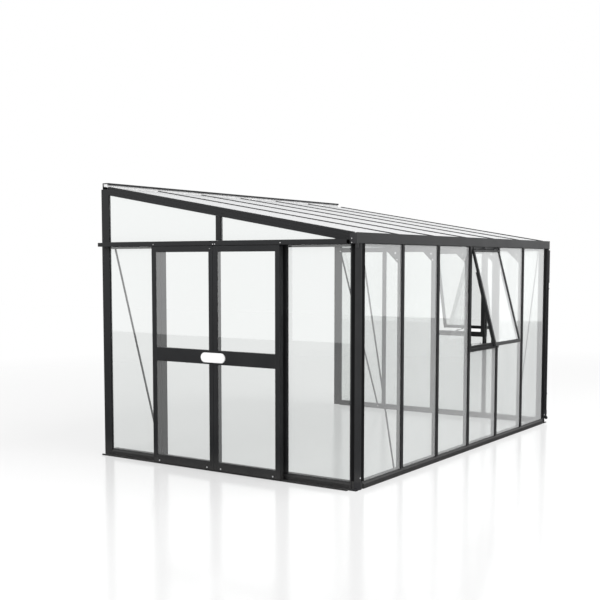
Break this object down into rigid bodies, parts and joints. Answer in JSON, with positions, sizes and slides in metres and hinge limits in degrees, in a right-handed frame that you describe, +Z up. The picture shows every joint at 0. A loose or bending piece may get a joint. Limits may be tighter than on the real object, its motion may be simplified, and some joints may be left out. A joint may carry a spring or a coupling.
{
  "type": "lean-to greenhouse",
  "caption": "Lean-to greenhouse with a dark aluminium frame, clear glass, pale pent roof, sliding double doors in one gable and top-hung windows.",
  "frame": {"origin": "under the middle of the front base rail, on the ground", "axes": "+X along the front towards the gable with the window, +Y towards the wall, +Z up"},
  "size_m": [4.1575, 2.8355, 2.3635],
  "materials": {
    "dark_frame": "satin anthracite powder coat",
    "clear_glass": "clear polished",
    "roof_sheet": "translucent twin-wall sheet",
    "black_moulding": "matt moulded",
    "black_rubber": "matt",
    "pale_filler": "matt",
    "white_moulding": "smooth white",
    "bright_steel": "zinc plated",
    "black_steel": "satin black"
  },
  "bodies": {
    "frame": {"base_rail_far_gable": "dark_frame", "base_rail_front": "dark_frame", "corner_post_far": "dark_frame", "corner_post_near": "dark_frame", "corner_shoes": "black_moulding", "door_gable_glass": "clear_glass", "door_gable_header": "dark_frame", "door_header_track": "dark_frame", "door_jambs": "dark_frame", "downpipe": "dark_frame", "downpipe_clips": "dark_frame", "downpipe_fittings": "black_moulding", "eaves_beam": "dark_frame", "far_gable_bars": "dark_frame", "far_gable_glass": "clear_glass", "far_gable_header": "dark_frame", "frame_fasteners": "bright_steel", "front_glass": "clear_glass", "front_glazing_bars": "dark_frame", "gable_upper_bars": "dark_frame", "glazing_bar_caps": "black_moulding", "glazing_seals": "black_rubber", "gutter": "dark_frame", "gutter_end_caps": "black_moulding", "knee_plates": "dark_frame", "lower_door_track": "dark_frame", "roof_bars": "dark_frame", "roof_panels": "roof_sheet", "threshold_rail": "dark_frame", "verge_rafter_far": "dark_frame", "verge_rafter_near": "dark_frame", "wall_plate": "dark_frame", "wall_plate_filler": "pale_filler", "wall_post_far": "dark_frame", "wall_post_near": "dark_frame", "wind_braces": "dark_frame", "window_fixed_rails": "dark_frame", "window_hinges": "dark_frame"},
    "left_door": {"left_door_glass": "clear_glass", "left_door_guides": "black_moulding", "left_door_handle": "white_moulding", "left_door_hangers": "bright_steel", "left_door_rails": "dark_frame", "left_door_stiles": "dark_frame"},
    "left_roller_a": {"left_door_roller_a": "black_moulding"},
    "left_roller_b": {"left_door_roller_b": "black_moulding"},
    "right_door": {"right_door_glass": "clear_glass", "right_door_guides": "black_moulding", "right_door_handle": "white_moulding", "right_door_hangers": "bright_steel", "right_door_rails": "dark_frame", "right_door_stiles": "dark_frame"},
    "right_roller_a": {"right_door_roller_a": "black_moulding"},
    "right_roller_b": {"right_door_roller_b": "black_moulding"},
    "front_sash": {"front_sash_frame": "dark_frame", "front_sash_glass": "clear_glass"},
    "front_stay_bar": {"front_stay": "black_steel"},
    "far_sash": {"far_sash_frame": "dark_frame", "far_sash_glass": "clear_glass"},
    "far_stay_bar": {"far_stay": "black_steel"}
  },
  "joints": [
    {"name": "left_door_slide", "type": "slide", "parent": "frame", "child": "left_door", "axis": [0, 1, 0], "range_m": [0, 0.61]},
    {"name": "left_roller_a_turn", "type": "hinge", "parent": "left_door", "child": "left_roller_a", "pos_m": [-1.972, 1.369, 1.8303], "axis": [-1, 0, 0], "continuous": true},
    {"name": "left_roller_b_turn", "type": "hinge", "parent": "left_door", "child": "left_roller_b", "pos_m": [-1.972, 1.834, 1.8303], "axis": [-1, 0, 0], "continuous": true},
    {"name": "right_door_slide", "type": "slide", "parent": "frame", "child": "right_door", "axis": [0, -1, 0], "range_m": [0, 0.59]},
    {"name": "right_roller_a_turn", "type": "hinge", "parent": "right_door", "child": "right_roller_a", "pos_m": [-1.972, 0.72, 1.8303], "axis": [1, 0, 0], "continuous": true},
    {"name": "right_roller_b_turn", "type": "hinge", "parent": "right_door", "child": "right_roller_b", "pos_m": [-1.972, 1.185, 1.8303], "axis": [1, 0, 0], "continuous": true},
    {"name": "front_window_hinge", "type": "hinge", "parent": "frame", "child": "front_sash", "pos_m": [0.31, -0.036, 1.8], "axis": [-1, 0, 0], "range_deg": [-15, 3.5]},
    {"name": "front_stay_pivot", "type": "hinge", "parent": "front_sash", "child": "front_stay_bar", "pos_m": [0.31, -0.2412, 0.96464], "axis": [-1, 0, 0], "range_deg": [-2.5, 9.6]},
    {"name": "far_window_hinge", "type": "hinge", "parent": "frame", "child": "far_sash", "pos_m": [1.922, 0.97, 1.8], "axis": [0, -1, 0], "range_deg": [-15, 3.5]},
    {"name": "far_stay_pivot", "type": "hinge", "parent": "far_sash", "child": "far_stay_bar", "pos_m": [2.1272, 0.97, 0.96464], "axis": [0, -1, 0], "range_deg": [-2.5, 9.6]}
  ],
  "couplings": [
    {"joint": "left_roller_a_turn", "follows": "left_door_slide", "rad_per_m": 86.957},
    {"joint": "left_roller_b_turn", "follows": "left_door_slide", "rad_per_m": 86.957},
    {"joint": "right_roller_a_turn", "follows": "right_door_slide", "rad_per_m": 86.957},
    {"joint": "right_roller_b_turn", "follows": "right_door_slide", "rad_per_m": 86.957},
    {"joint": "front_stay_pivot", "follows": "front_window_hinge", "ratio": -0.629},
    {"joint": "far_stay_pivot", "follows": "far_window_hinge", "ratio": -0.629}
  ]
}
